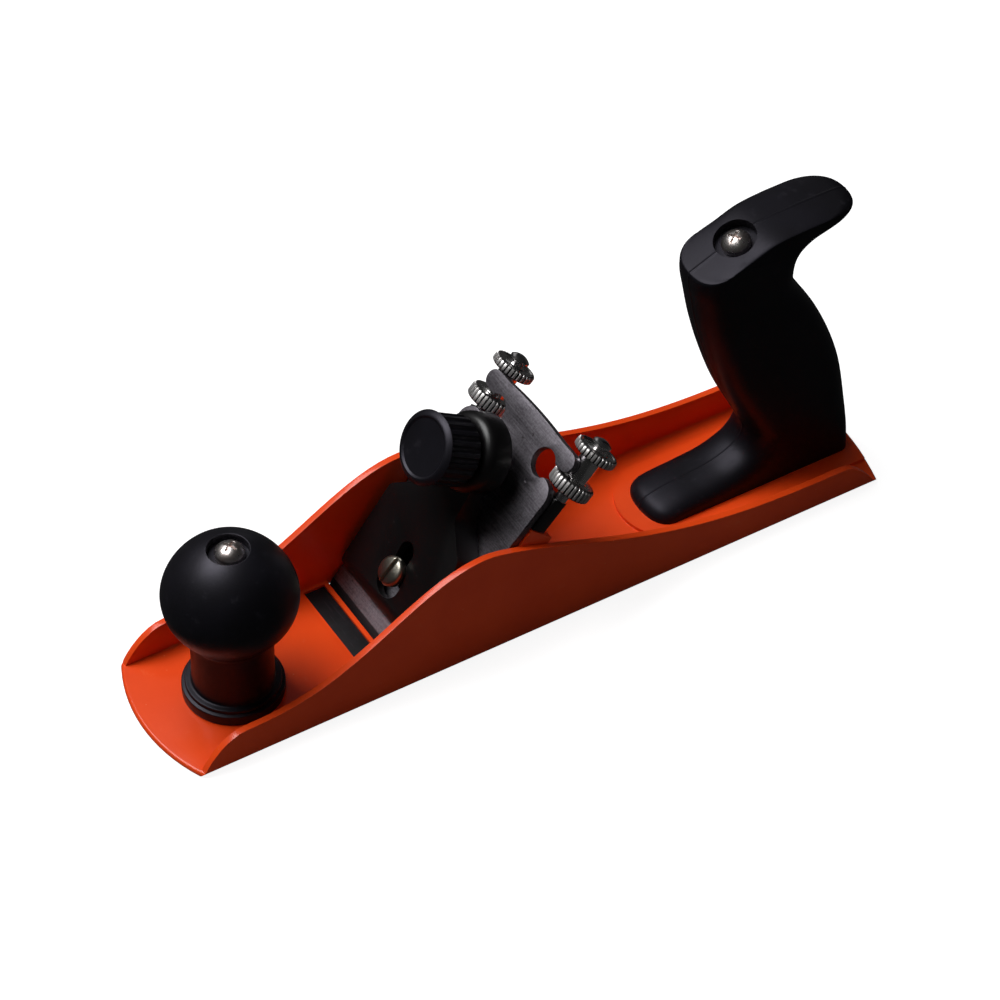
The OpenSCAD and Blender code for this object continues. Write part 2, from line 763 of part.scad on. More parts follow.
module cap_plan(inset) {
  nose = cap_s + inset;
  front = cap_w / 2 - inset;
  shoulder = cap_shoulder_w / 2 - inset;
  waist = waist_w / 2 - inset;
  boss_plan = boss_s - 2;
  both_sides(concat(
    end_cap(nose + 2.5, front - 2.5, 2.5, 180, 90, 6),
    end_cap(shoulder_s - 3, shoulder - 3, 3, 85, 30, 5),
    end_cap(shoulder_s + 8.6 + inset / 2, waist + 4.4, 4.4, 222, 270, 4),
    [[boss_plan, waist]]));
}

module lever_cap() {
  flat = boss_s - 14;
  color(black)
  difference() {
    union() {
      at_bed()
        intersection() {
          linear_extrude(20)
            cap_plan(0);
          translate([cap_s, 0, 0])
            side_slab(cap_w, concat(
              [[0, part_gap], [0, part_gap + 0.5]],
              [for (a = [15:15:90]) [5.3 * (1 - cos(a)), 0.8 + (cap_rise - 0.8) * sin(a)]],
              [[80, cap_rise + (80 - 5.3) * tan(cap_slope)], [80, 7],
                [boss_s - cap_s - 12, 7], [shoulder_s - cap_s + 5, part_gap]]));
          translate([cap_s + 5.3, 0, cap_rise - 141])
            rotate([0, 90 - cap_slope, 0])
              translate([0, 0, -20])
                cylinder(r = 141, h = 140, $fn = 720);
        }
      at_clamp()
        translate([0, 0, 7])
          rotate_extrude($fn = 72)
            polygon(concat([[0, 0], [boss_r - 0.8, 0], [boss_r, 0.8]],
              [for (a = [0:15:90]) [boss_r - 3 + 3 * cos(a), 6.5 + 3 * sin(a)]],
              [[0, 9.5]]));
    }
    // hollow underside
    at_bed()
      intersection() {
        translate([0, 0, -1])
          linear_extrude(20)
            cap_plan(cap_wall);
        translate([cap_s, 0, 0])
          side_slab(cap_w, [[3, -1], [3, cap_rise - 3.4],
            [flat - cap_s - 6, cap_rise - 3.4 + (flat - cap_s - 11) * tan(cap_slope)], [flat - cap_s - 6, -1]]);
      }
    // keyhole and the flat that takes the screw's head
    at_bed(key_s)
      cylinder(r = key_r, h = 30, $fn = 64);
    at_bed() {
      translate([key_s, -key_w / 2, -1])
        cube([cap_screw_s + 7.4 - key_s, key_w, 30]);
      translate([cap_screw_s + 7.4, 0, -1])
        cylinder(d = key_w, h = 30, $fn = 48);
      for (s = [key_s, cap_screw_s]) {
        translate([s, 0, seat_h])
          cylinder(r = cap_screw_head_d / 2 + part_gap, h = 10, $fn = 64);
      }
      translate([key_s, -cap_screw_head_d / 2 - part_gap, seat_h])
        cube([cap_screw_s - key_s, cap_screw_head_d + 2 * part_gap, 10]);
    }
    at_clamp()
      cylinder(r = clamp_stud_d / 2 + running, h = 30, $fn = 64);
  }
}

module lever_cap_screw() {
  color(bright)
  at_bed(cap_screw_s) {
    difference() {
      translate([0, 0, seat_h + part_gap])
        rotate_extrude($fn = 64)
          polygon([[0, 0], [cap_screw_head_d / 2, 0], [cap_screw_head_d / 2, cap_head_h - 0.9],
            [cap_screw_head_d / 2 - 0.35, cap_head_h - 0.35], [cap_screw_head_d / 2 - 1, cap_head_h], [0, cap_head_h]]);
      translate([-cap_screw_head_d, -0.7, seat_h + part_gap + cap_head_h - 1.2])
        cube([2 * cap_screw_head_d, 1.4, 5]);
    }
    translate([0, 0, frog_back])
      cylinder(d = cap_screw_d, h = seat_h - frog_back + 0.5, $fn = 48);
  }
}

// ---- clamp ----

clamp_start = 7 + 9.5 + 1.3;

module clamp_stud() {
  r = clamp_stud_d / 2;
  color(steel)
  at_clamp()
    rotate_extrude($fn = 64)
      polygon(concat(
        [[0, part_gap + 0.05]],
        [for (a = [-75:15:0]) [r * cos(a) * 0.99, part_gap + 1.6 + 1.55 * sin(a)]],
        [[r, part_gap + 2.2], [r, clamp_start + clamp_l - 4], [0, clamp_start + clamp_l - 4]]));
}

module clamp_knob() {
  r = clamp_r - 0.6;
  rim = 1.5;
  color(black)
  at_clamp()
    translate([0, 0, clamp_start])
      difference() {
        rotate_extrude($fn = 80)
          polygon([[0, 0], [r - 1, 0], [r, 0.8], [r, clamp_l - rim], [clamp_r, clamp_l - rim + 0.3],
            [clamp_r, clamp_l - 1.2], [clamp_r - 1.4, clamp_l - 0.1], [clamp_r - 2, clamp_l],
            [clamp_r - 2.6, clamp_l - 0.5], [0, clamp_l - 0.5]]);
        for (i = [0:flutes - 1]) {
          rotate([0, 0, 360 * i / flutes])
            translate([r + 0.25, 0, -1])
              cylinder(r = 1.05, h = clamp_l - rim + 0.7, $fn = 16);
        }
        translate([0, 0, -1])
          cylinder(r = clamp_stud_d / 2, h = clamp_l - 3, $fn = 64);
      }
}

// ---- adjuster ----

module adjuster_stud(side) {
  color(bright)
  at_bed(0, stud_h)
    translate([0, side * stud_y, 0])
      rotate([0, 90, 0]) {
        translate([0, 0, frog_l + 1.4])
          cylinder(d = stud_seat_d, h = frog_head_l, $fn = 36);
        translate([0, 0, frog_end])
          cylinder(d = stud_d, h = head_s - drop(side) - frog_end + 0.4, $fn = 36);
        translate([0, 0, head_s - drop(side)])
          dome_head(stud_head_d / 2, 1.9, false);
      }
}

module knurled_flange(t) {
  deep = 0.42;
  pitch = 360 / knurls;
  intersection() {
    linear_extrude(t)
      polygon([for (i = [0:knurls - 1], k = [[0, 0], [0.28, 0], [0.5, 1], [0.78, 1]])
        let (a = pitch * (i + k[0]), r = wheel_r - deep + deep * k[1])
        [r * cos(a), r * sin(a)]]);
    rotate_extrude($fn = 96)
      polygon([[0, 0], [wheel_r - 0.7, 0], [wheel_r + 0.1, 0.8], [wheel_r + 0.1, t - 0.8], [wheel_r - 0.7, t], [0, t]]);
  }
}

module adjuster_wheel(side) {
  color(bright)
  at_bed(-drop(side), stud_h)
    translate([0, side * stud_y, 0])
      rotate([0, 90, 0])
        difference() {
          union() {
            translate([0, 0, low_s])
              knurled_flange(low_flange_t);
            translate([0, 0, low_s + low_flange_t / 2])
              cylinder(r = neck_r, h = top_s - low_s, $fn = 64);
            translate([0, 0, top_s])
              knurled_flange(top_flange_t);
          }
          translate([0, 0, low_s - 1])
            cylinder(r = stud_d / 2 + running, h = wheel_end - low_s + 2, $fn = 48);
        }
}

module adjuster_stud_near() {
  adjuster_stud(-1);
}

module adjuster_stud_far() {
  adjuster_stud(1);
}

module adjuster_wheel_near() {
  adjuster_wheel(-1);
}

module adjuster_wheel_far() {
  adjuster_wheel(1);
}

body();
mouth_plate();
front_knob();
knob_screw();
tote();
tote_screw();
frog();
frog_screws();
blade();
lever_cap();
lever_cap_screw();
clamp_stud();
clamp_knob();
adjuster_stud_near();
adjuster_stud_far();
adjuster_wheel_near();
adjuster_wheel_far();
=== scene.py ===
import math

import bmesh
import bpy
from mathutils import Matrix, Vector


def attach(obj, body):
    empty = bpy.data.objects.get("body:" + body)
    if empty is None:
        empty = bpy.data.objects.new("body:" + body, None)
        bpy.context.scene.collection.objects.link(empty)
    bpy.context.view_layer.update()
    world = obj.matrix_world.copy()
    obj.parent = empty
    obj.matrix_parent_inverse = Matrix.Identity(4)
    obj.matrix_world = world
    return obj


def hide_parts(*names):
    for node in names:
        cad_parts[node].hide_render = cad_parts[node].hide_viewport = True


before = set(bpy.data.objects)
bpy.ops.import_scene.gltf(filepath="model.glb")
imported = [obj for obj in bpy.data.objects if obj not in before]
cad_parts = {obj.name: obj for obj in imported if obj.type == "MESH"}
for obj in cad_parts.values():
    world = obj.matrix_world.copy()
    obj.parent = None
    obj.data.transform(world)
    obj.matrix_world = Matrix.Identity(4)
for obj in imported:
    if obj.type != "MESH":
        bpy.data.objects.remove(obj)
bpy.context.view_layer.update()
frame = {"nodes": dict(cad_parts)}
nodes = frame["nodes"]
mm = 0.001
print("frame loaded,", len(nodes), "nodes")


# One socket of a material, so that shader maths reads as ordinary sums
class Wire:
    def __init__(self, nodes, socket):
        self.nodes = nodes
        self.socket = socket

    def maths(self, operation, first, second, clamp=False):
        settings = {"operation": operation, "use_clamp": clamp}
        return self.nodes.node("ShaderNodeMath", settings, {0: first, 1: second})

    def __add__(self, other):
        return self.maths("ADD", self, other)

    def __radd__(self, other):
        return self.maths("ADD", other, self)

    def __sub__(self, other):
        return self.maths("SUBTRACT", self, other)

    def __rsub__(self, other):
        return self.maths("SUBTRACT", other, self)

    def __mul__(self, other):
        return self.maths("MULTIPLY", self, other)

    def __rmul__(self, other):
        return self.maths("MULTIPLY", other, self)

    def limited(self):
        return self.maths("ADD", self, 0.0, True)

    # without its sign
    def size(self):
        return self.maths("ABSOLUTE", self, 0.0)

    def root(self):
        return self.maths("SQRT", self, 0.0)

    # 0 below the edge, 1 above it, with a soft step between
    def above(self, edge, soft):
        return self.nodes.node(
            "ShaderNodeMapRange",
            {"interpolation_type": "SMOOTHSTEP"},
            {"Value": self, "From Min": edge - soft, "From Max": edge + soft},
        )


# A node tree while it is put together; place is where on the object, or in the air, a point lies
class Nodes:
    def __init__(self, tree, outlet):
        self.tree = tree
        self.tree.nodes.clear()
        self.place = self.node("ShaderNodeTexCoord", outlet=outlet)

    # a node's type, its settings, which are set first, then the values or links of its sockets
    def node(self, kind, settings=None, sockets=None, outlet=0):
        made = self.tree.nodes.new(kind)
        for key, value in (settings or {}).items():
            setattr(made, key, value)
        for key, value in (sockets or {}).items():
            socket = made.inputs[key]
            if isinstance(value, Wire):
                self.tree.links.new(value.socket, socket)
            elif socket.type == "RGBA":
                socket.default_value = (*value, 1.0)
            else:
                socket.default_value = value
        return Wire(self, made.outputs[outlet]) if made.outputs else None

    # how far the place lies along a direction
    def along(self, direction):
        return self.node("ShaderNodeVectorMath", {"operation": "DOT_PRODUCT"}, {0: self.place, 1: direction}, 1)

    def ray(self, kind):
        return self.node("ShaderNodeLightPath", outlet="Is " + kind + " Ray")


# A material while it is put together; the scales of its patterns are per metre
class Finish(Nodes):
    def __init__(self, name):
        self.material = bpy.data.materials.new(name)
        self.material.use_nodes = True
        super().__init__(self.material.node_tree, "Object")

    def noise(self, scale, detail=3.0, rough=0.55, where=None):
        sockets = {"Vector": where or self.place, "Scale": scale, "Detail": detail, "Roughness": rough}
        return self.node("ShaderNodeTexNoise", None, sockets)

    def cells(self, scale):
        return self.node("ShaderNodeTexVoronoi", None, {"Vector": self.place, "Scale": scale})

    # a few small round specks: grit below its edge, where a slow noise is above its share
    def specks(self, grit, edge, scale, share):
        return (1.0 - grit.above(edge, 0.05)) * self.noise(scale, 1.0).above(share, 0.03)

    def mix(self, factor, first, second, blend="MIX"):
        settings = {"data_type": "RGBA", "blend_type": blend}
        return self.node("ShaderNodeMix", settings, {0: factor, 6: first, 7: second}, 2)

    # the place, turned about y and then stretched, so that a pattern runs along one direction
    def drawn(self, stretch, turn=0.0):
        sockets = {"Vector": self.place, "Angle": turn}
        turned = self.node("ShaderNodeVectorRotate", {"rotation_type": "Y_AXIS"}, sockets)
        return self.node("ShaderNodeVectorMath", {"operation": "MULTIPLY"}, {0: turned, 1: stretch})

    def bump(self, height, strength, distance, below=None):
        sockets = {"Strength": strength, "Distance": distance, "Height": height}
        if below:
            sockets["Normal"] = below
        return self.node("ShaderNodeBump", None, sockets)

    def surface(self, sockets):
        shader = self.node("ShaderNodeBsdfPrincipled", None, sockets)
        self.node("ShaderNodeOutputMaterial", None, {"Surface": shader})
        return self.material


# Main places in mm: the bed starts at the mouth and rises to the heel, and the clamp stands in the cap's boss
plane = {
    "mouthX": -46.9, "honeDrop": 0.7, "slope": 47.5,
    "studY": 21.4, "studH": -6.2, "bossS": 68.3, "clampTilt": 10.5,
}
slope = math.radians(plane["slope"])
bedX = plane["mouthX"] - plane["honeDrop"] / math.sin(slope)
bedAlong = (math.cos(slope), 0, math.sin(slope))
bedUp = (-math.sin(slope), 0, math.cos(slope))
bed = Matrix.Translation((bedX, 0, 0)) @ Matrix.Rotation(-slope, 4, "Y")
clampTurn = Matrix.Rotation(math.radians(-plane["clampTilt"]), 4, "Y")
clamp = bed @ Matrix.Translation((plane["bossS"], 0, 0)) @ clampTurn


# Enamel on iron: faint peel, slow unevenness of colour, a few dust specks and rubbed spots
def orangeEnamel():
    look = {
        "colour": (0.88, 0.075, 0.009), "deep": (0.80, 0.060, 0.007), "dust": (0.90, 0.24, 0.10),
        "gloss": 0.38, "glint": 0.06, "coat": 0.6, "coatGloss": 0.2,
        "slow": 38.0, "wave": 60.0, "rub": 95.0, "speck": 160.0, "grit": 520.0, "peel": 900.0,
    }
    f = Finish("orangeEnamel")
    slow = f.noise(look["slow"], 4.0)
    grit = f.cells(look["grit"])
    speck = f.specks(grit, 0.10, look["speck"], 0.66)
    rubbed = f.noise(look["rub"], 5.0, 0.7).above(0.68, 0.06)
    colour = f.mix(slow.above(0.5, 0.25), look["deep"], look["colour"])
    colour = f.mix(speck * 0.45, colour, look["dust"])
    colour = f.mix(rubbed * 0.18, colour, look["dust"])
    wave = f.bump(f.noise(look["wave"], 2.0), 0.25, 0.4 * mm)
    return f.surface(
        {
            "Base Color": colour,
            "Roughness": look["gloss"] + 0.10 * slow + 0.14 * rubbed + 0.2 * speck,
            "Specular IOR Level": look["glint"],
            "Coat Weight": look["coat"],
            "Coat Roughness": look["coatGloss"],
            "Normal": f.bump(f.noise(look["peel"], 2.0) + 0.6 * grit, 0.10, 0.06 * mm, wave),
        }
    )


# Moulded black plastic: fine spark texture, slightly purple, a few greasy and scuffed patches
def blackMoulding(name="blackMoulding", glint=0.38):
    look = {
        "colour": (0.0036, 0.0034, 0.0044), "worn": (0.0060, 0.0056, 0.0086), "scuffed": (0.022, 0.021, 0.025),
        "gloss": 0.38, "tint": (0.88, 0.84, 1.0),
        "handled": 60.0, "scuff": 240.0, "pits": 1500.0, "spark": 2600.0,
    }
    f = Finish(name)
    handled = f.noise(look["handled"], 4.0)
    scuff = f.noise(look["scuff"], 4.0, 0.7).above(0.64, 0.05)
    colour = f.mix(handled.above(0.52, 0.2) * 0.7, look["colour"], look["worn"])
    return f.surface(
        {
            "Base Color": f.mix(scuff * 0.25, colour, look["scuffed"]),
            "Roughness": look["gloss"] + 0.10 * handled + 0.08 * scuff,
            "Specular IOR Level": glint,
            "Specular Tint": look["tint"],
            "Normal": f.bump(f.noise(look["spark"], 2.0) + 0.5 * f.cells(look["pits"]), 0.22, 0.05 * mm),
        }
    )


# Glossy black enamel of the lever cap and the frog
def blackEnamel():
    look = {
        "colour": (0.0030, 0.0026, 0.0030), "dust": (0.05, 0.045, 0.045), "gloss": 0.30, "glint": 0.45,
        "slow": 70.0, "speck": 140.0, "grit": 430.0, "peel": 620.0,
    }
    f = Finish("blackEnamel")
    slow = f.noise(look["slow"], 3.0)
    speck = f.specks(f.cells(look["grit"]), 0.09, look["speck"], 0.64)
    return f.surface(
        {
            "Base Color": f.mix(speck * 0.6, look["colour"], look["dust"]),
            "Roughness": look["gloss"] + 0.09 * slow + 0.3 * speck,
            "Specular IOR Level": look["glint"],
            "Normal": f.bump(f.noise(look["peel"], 2.0), 0.10, 0.06 * mm, f.bump(slow, 0.06, 0.4 * mm)),
        }
    )


# Ground steel: short fine scratches across the blade, a sandy grain, cloudy patches and tiny rust freckles.
# Beside the mouth: the honed edge with painted shade over it, then a paler painted lit band that brightens to
# the near side
def groundSteel():
    look = {
        "pale": (0.30, 0.28, 0.31), "dark": (0.125, 0.115, 0.130), "freckle": (0.05, 0.04, 0.04),
        # edge is near black, painted shade over the honed edge beside the mouth; band is the colour of a painted
        # lit band
        "edge": (0.016, 0.011, 0.013), "band": (0.62, 0.57, 0.64), "gloss": 0.36,
        "lines": (1900.0, 120.0, 1900.0), "cloud": 85.0, "spots": 420.0, "sand": 1500.0,
        "half": 22.0, "honed": 3.6, "bright": 13.0,
    }
    f = Finish("groundSteel")
    up = f.along(bedAlong) - bedX * mm * bedAlong[0]
    side = f.along((0, -1 / (look["half"] * mm), 0))
    # painted shade of the mouth over the honed edge: the lowest few mm of the blade
    honed = 1.0 - up.above(look["honed"] * mm, 0.3 * mm)
    # painted light: a pale lit band up to 13 mm above the mouth, brighter towards the near side
    bright = (1.0 - up.above(look["bright"] * mm, 1.0 * mm)) * (0.5 + 0.5 * side).limited()
    lines = f.noise(1.0, 3.0, 0.6, f.drawn(look["lines"], slope))
    sand = f.noise(look["sand"], 2.0, 0.6)
    cloud = f.noise(look["cloud"], 4.0)
    freckle = f.noise(look["spots"], 3.0, 0.6).above(0.69, 0.03)
    tone = (0.45 * lines + 0.35 * sand + 0.2 * cloud).above(0.5, 0.16)
    colour = f.mix(tone, look["dark"], look["pale"])
    colour = f.mix(cloud.above(0.5, 0.2) * 0.3, colour, look["dark"])
    colour = f.mix(freckle * 0.7, colour, look["freckle"])
    # the painted lit band lightens the colour
    colour = f.mix(bright * (0.35 + 0.5 * tone), colour, look["band"])
    return f.surface(
        {
            # the honed edge with painted shade over it
            "Base Color": f.mix(honed * 0.92, colour, look["edge"]),
            # less metallic in the painted lit band, so that it looks lit
            "Metallic": 1.0 - 0.55 * bright,
            "Roughness": look["gloss"] + 0.12 * lines + 0.12 * cloud + 0.15 * honed,
            "Normal": f.bump(lines + sand, 0.22, 0.03 * mm, f.bump(cloud, 0.10, 0.2 * mm)),
        }
    )


# Bright plating: almost a mirror, with cloudy patches of a haze colour, which on the screw heads is an
# orange-brown painted reflection, and fine handling marks; other values make it greyer, duller or more dented
def brightPlate(name, colour=(0.82, 0.80, 0.81), haze=(0.55, 0.52, 0.51), gloss=0.13, dented=0.25):
    look = {"marks": (2400.0, 260.0, 700.0), "turn": 0.6, "cloud": 260.0, "dents": 520.0}
    f = Finish(name)
    cloud = f.noise(look["cloud"], 4.0)
    marks = f.noise(1.0, 2.0, 0.6, f.drawn(look["marks"], look["turn"]))
    dents = f.bump(f.noise(look["dents"], 2.0), dented, 0.2 * mm)
    return f.surface(
        {
            "Base Color": f.mix(cloud.above(0.55, 0.15) * 0.5, colour, haze),
            "Metallic": 1.0,
            "Roughness": gloss + 0.12 * cloud + 0.05 * marks,
            "Normal": f.bump(marks, 0.12, 0.03 * mm, dents),
        }
    )


# The wheels' plating: satin on the crests, with painted shade darkening the knurl grooves
def knurledPlate():
    look = {
        # the groove colour is painted shade for the knurl grooves
        "crest": (0.86, 0.84, 0.83), "haze": (0.62, 0.60, 0.60), "groove": (0.035, 0.032, 0.034),
        "face": 0.12, "rim": 0.30, "rimR": 5.92, "grooveR": 6.42, "cloud": 420.0, "marks": 2200.0,
    }
    f = Finish("knurledPlate")
    high = f.along(bedUp) - (plane["studH"] - bedX * math.sin(slope)) * mm
    side = f.along((0, 1, 0)).size() - plane["studY"] * mm
    radius = (high * high + side * side).root()
    rim = radius.above(look["rimR"] * mm, 0.05 * mm)
    # painted shade: between these radii the knurl grooves turn near black
    groove = rim * (1.0 - radius.above(look["grooveR"] * mm, 0.08 * mm))
    cloud = f.noise(look["cloud"], 4.0)
    colour = f.mix(cloud.above(0.52, 0.12) * 0.6, look["crest"], look["haze"])
    return f.surface(
        {
            "Base Color": f.mix(groove * 0.9, colour, look["groove"]),
            "Metallic": 1.0,
            "Roughness": look["face"] + look["rim"] * rim + 0.12 * cloud,
            "Normal": f.bump(f.noise(look["marks"], 2.0), 0.12, 0.03 * mm),
        }
    )


# Dull mottled strip of the mouth plate
def dullStrip():
    look = {
        "dark": (0.0028, 0.0024, 0.0036), "pale": (0.0075, 0.0062, 0.0085), "mark": (0.024, 0.021, 0.026),
        "gloss": 0.52, "glint": 0.25, "blotch": 330.0, "scratch": (1400.0, 120.0, 1400.0),
    }
    f = Finish("dullStrip")
    blotch = f.noise(look["blotch"], 5.0, 0.65)
    scratch = f.noise(1.0, 2.0, 0.5, f.drawn(look["scratch"]))
    colour = f.mix(blotch.above(0.5, 0.18), look["dark"], look["pale"])
    return f.surface(
        {
            "Base Color": f.mix(scratch.above(0.66, 0.05) * 0.4, colour, look["mark"]),
            "Roughness": look["gloss"] + 0.2 * blotch,
            "Specular IOR Level": look["glint"],
            "Normal": f.bump(blotch + scratch, 0.3, 0.08 * mm),
        }
    )


finishes = {
    "orange_paint": orangeEnamel(),
    "black_moulding": blackMoulding(),
    "black_paint": blackEnamel(),
    "plain_steel": groundSteel(),
    "bright_chrome": brightPlate("brightPlate"),
    "dark_plate": dullStrip(),
}
wheelPlate = knurledPlate()
gripMoulding = blackMoulding("gripMoulding", 0.2)
# the screw heads' orange-brown haze is painted reflection of the orange body, in blotches
screwPlate = brightPlate("screwPlate", (0.95, 0.90, 0.88), (0.42, 0.26, 0.20), 0.2, 0.5)
agedPlate = brightPlate("agedPlate", (0.34, 0.32, 0.27), (0.16, 0.15, 0.12), 0.24)
print("finishes made:", len(finishes))


def painted(thing, material):
    thing.data.materials.clear()
    thing.data.materials.append(material)


# A geometry node group, and the function that adds a node to it: a type, its settings, then its sockets' values
# or links
def newGroup(name):
    group = bpy.data.node_groups.new(name, "GeometryNodeTree")
    for way in ("INPUT", "OUTPUT"):
        group.interface.new_socket("Geometry", in_out=way, socket_type="NodeSocketGeometry")

    def add(kind, settings=None, sockets=None, outlet=0):
        made = group.nodes.new(kind)
        for key, value in (settings or {}).items():
            setattr(made, key, value)
        for key, value in (sockets or {}).items():
            if isinstance(value, bpy.types.NodeSocket):
                group.links.new(value, made.inputs[key])
            else:
                made.inputs[key].default_value = value
        return made.outputs[outlet] if made.outputs else None

    return group, add


def smoothed(add, shell):
    for domain in ("FACE", "EDGE"):
        shell = add("GeometryNodeSetShadeSmooth", {"domain": domain}, {0: shell, "Shade Smooth": True})
    return shell


# Joins a packed shell's loose faces and forgets its stored normals
def joinGroup(closer):
    group, add = newGroup("shellJoin")
    shell = add("GeometryNodeRemoveAttribute", None, {0: add("NodeGroupInput"), "Name": "custom_normal"})
    shell = add("GeometryNodeMergeByDistance", None, {0: shell, "Distance": closer * mm})
    add("NodeGroupOutput", None, {0: smoothed(add, shell)})
    return group


# Keeps the edges sharper than the angle
def edgesGroup(angle):
    group, add = newGroup("shellEdges")
    shell = smoothed(add, add("NodeGroupInput"))
    turn = add("GeometryNodeInputMeshEdgeAngle")
    sharp = add("FunctionNodeCompare", {"operation": "GREATER_THAN"}, {0: turn, 1: math.radians(angle)})
    sockets = {0: shell, "Selection": sharp, "Shade Smooth": False}
    add("NodeGroupOutput", None, {0: add("GeometryNodeSetShadeSmooth", {"domain": "EDGE"}, sockets)})
    return group


# Says how much each edge of the body is rounded, with the cheeks' outer rims the roundest
def rimsGroup(rims):
    group, add = newGroup("rimWeights")

    def sums(operation, *values):
        return add("ShaderNodeMath", {"operation": operation}, dict(enumerate(values)))

    spot = add("GeometryNodeInputPosition")
    outer = sums("ABSOLUTE", add("ShaderNodeSeparateXYZ", None, {0: spot}, 1))
    outer = sums("GREATER_THAN", outer, rims["inset"] * mm)
    raised = sums("GREATER_THAN", add("ShaderNodeSeparateXYZ", None, {0: spot}, 2), rims["above"] * mm)
    share = sums("MULTIPLY_ADD", sums("MULTIPLY", outer, raised), 1.0 - rims["others"], rims["others"])
    turn = add("GeometryNodeInputMeshEdgeAngle")
    weight = sums("MULTIPLY", share, sums("GREATER_THAN", turn, math.radians(rims["angle"])))
    sockets = {0: add("NodeGroupInput"), "Name": "bevel_weight_edge", "Value": weight}
    stored = add("GeometryNodeStoreNamedAttribute", {"data_type": "FLOAT", "domain": "EDGE"}, sockets)
    add("NodeGroupOutput", None, {0: stored})
    return group


shellJoin = joinGroup(0.002)
shellEdges = edgesGroup(33)


# Modifiers that take the edge off a cast or machined piece, by a width in mm; packed shells are joined first
def softened(thing, width, angle=30, segments=3, packed=True):
    if packed:
        thing.modifiers.new("join", "NODES").node_group = shellJoin
        flats = thing.modifiers.new("flats", "DECIMATE")
        flats.decimate_type = "DISSOLVE"
        flats.angle_limit = math.radians(0.2)
    edge = thing.modifiers.new("edge", "BEVEL")
    edge.width = width * mm
    edge.segments = segments
    edge.limit_method = "ANGLE"
    edge.angle_limit = math.radians(angle)
    edge.use_clamp_overlap = True
    if packed:
        thing.modifiers.new("edges", "NODES").node_group = shellEdges


# The body's edges are rounded by their weights
def rimmed(thing):
    rims = {"width": 0.95, "others": 0.44, "inset": 24.7, "above": 3.0, "angle": 30, "segments": 5}
    softened(thing, rims["width"], segments=rims["segments"])
    thing.modifiers["edge"].limit_method = "WEIGHT"
    thing.modifiers.new("rims", "NODES").node_group = rimsGroup(rims)
    thing.modifiers.move(len(thing.modifiers) - 1, thing.modifiers.find("edge"))


# Smooth faces, with the edges sharper than the angle kept
def shaded(thing, angle):
    for face in thing.data.polygons:
        face.use_smooth = True
    thing.data.set_sharp_from_angle(angle=math.radians(angle))


# The mesh that bmesh work ends in
def finished(name, work):
    bmesh.ops.recalc_face_normals(work, faces=work.faces)
    mesh = bpy.data.meshes.new(name)
    work.to_mesh(mesh)
    work.free()
    return mesh


# Links a mesh as a piece on its body, with its finish, in place of the nodes that it stands for
def asPiece(name, mesh, body, slot, *stoodFor):
    thing = bpy.data.objects.new(name, mesh)
    bpy.context.scene.collection.objects.link(thing)
    painted(thing, finishes[slot])
    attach(thing, body)
    if stoodFor:
        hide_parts(*stoodFor)
    return thing


# A mesh from rings of equally many points, joined one to the next; the ends are closed by a face each
def skinned(name, rings):
    work = bmesh.new()
    rows = [[work.verts.new(point) for point in ring] for ring in rings]
    count = len(rows[0])
    for one, two in zip(rows, rows[1:]):
        for i in range(count):
            j = (i + 1) % count
            work.faces.new((one[i], one[j], two[j], two[i]))
    work.faces.new(list(reversed(rows[0])))
    work.faces.new(rows[-1])
    bmesh.ops.remove_doubles(work, verts=work.verts, dist=1e-7)
    return finished(name, work)


# A turned piece: the profile holds radius and height in mm, and place puts the axis where it belongs;
# relief(r, share of a turn) can lower the radius, for knurls, and a closed profile is a ring round a bore
def turned(name, profile, place, segments, closed=False, relief=None):
    work = bmesh.new()
    rows = []
    for k in range(segments):
        a = 2 * math.pi * k / segments
        row = []
        for r, z in profile:
            r -= relief(r, k / segments) if relief else 0
            row.append(work.verts.new((place @ Vector((r * math.cos(a), r * math.sin(a), z))) * mm))
        rows.append(row)
    steps = len(profile) if closed else len(profile) - 1
    for k in range(segments):
        one, two = rows[k], rows[(k + 1) % segments]
        for i in range(steps):
            j = (i + 1) % len(profile)
            if max(profile[i][0], profile[j][0]) > 1e-6:
                work.faces.new((one[i], two[i], two[j], one[j]))
    bmesh.ops.remove_doubles(work, verts=work.verts, dist=1e-7)
    bmesh.ops.dissolve_degenerate(work, dist=1e-7, edges=work.edges)
    return finished(name, work)


# Points of an arc about a centre, with the angles in degrees; squash makes it an ellipse
def arc(cx, cz, r, a0, a1, steps, squash=1.0):
    turns = [math.radians(a0 + (a1 - a0) * i / steps) for i in range(steps + 1)]
    return [(cx + r * math.cos(a), cz + squash * r * math.sin(a)) for a in turns]


# Cuts one mesh out of another and leaves a plain mesh
def cut(thing, tool):
    carve = thing.modifiers.new("carve", "BOOLEAN")
    carve.operation = "DIFFERENCE"
    carve.solver = "EXACT"
    carve.object = tool
    bpy.context.view_layer.update()
    whole = bpy.data.meshes.new_from_object(thing.evaluated_get(bpy.context.evaluated_depsgraph_get()))
    thing.modifiers.remove(carve)
    old = thing.data
    thing.data = whole
    bpy.data.meshes.remove(old)
    spare = tool.data
    bpy.data.objects.remove(tool)
    bpy.data.meshes.remove(spare)


# An object that only cuts
def loose(mesh):
    thing = bpy.data.objects.new("tool", mesh)
    bpy.context.scene.collection.objects.link(thing)
    return thing


